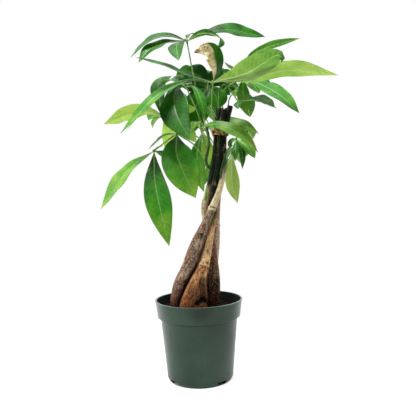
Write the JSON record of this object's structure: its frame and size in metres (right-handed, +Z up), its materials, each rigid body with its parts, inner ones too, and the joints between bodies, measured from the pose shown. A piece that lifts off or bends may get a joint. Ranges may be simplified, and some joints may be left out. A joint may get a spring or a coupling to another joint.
{
  "type": "potted money tree",
  "caption": "Plaited-trunk houseplant with long-stalked palmate leaves, standing in a soil-filled tapered plastic nursery pot.",
  "frame": {"origin": "middle of the pot's flat underside, on the surface the pot stands on", "axes": "+Z up the pot's axis; -Y towards the viewer of the picture, +X to the viewer's right"},
  "size_m": [0.3688, 0.323, 0.6269],
  "materials": {
    "pot_plastic": "satin",
    "potting_soil": "rough",
    "stem_bark": "rough bark",
    "twine": "twisted fibre",
    "green_shoot": "smooth green bark",
    "leaf_green": "waxy leaf"
  },
  "bodies": {
    "root": {"pot": "pot_plastic", "soil": "potting_soil", "stem_front_middle": "stem_bark", "stem_front_left": "stem_bark", "stem_front_right": "stem_bark", "stem_back_right": "stem_bark", "stem_back_left": "stem_bark", "tie": "twine", "shoot_left": "green_shoot", "shoot_right": "green_shoot", "leaf_top": "leaf_green", "leaf_big_right": "leaf_green", "leaf_big_front": "leaf_green", "leaf_pale_left": "leaf_green", "leaf_broad_low": "leaf_green", "leaf_lowest": "leaf_green", "leaf_dark_right": "leaf_green", "leaf_upper_right": "leaf_green", "leaf_across": "leaf_green", "leaf_right_cluster": "leaf_green", "leaf_pale_right": "leaf_green", "leaf_behind_trunk": "leaf_green", "leaf_inner": "leaf_green", "leaf_back_left": "leaf_green", "leaf_far_left": "leaf_green", "leaf_back_right": "leaf_green", "leaf_back_low": "leaf_green", "leaf_back_top": "leaf_green"}
  },
  "joints": []
}
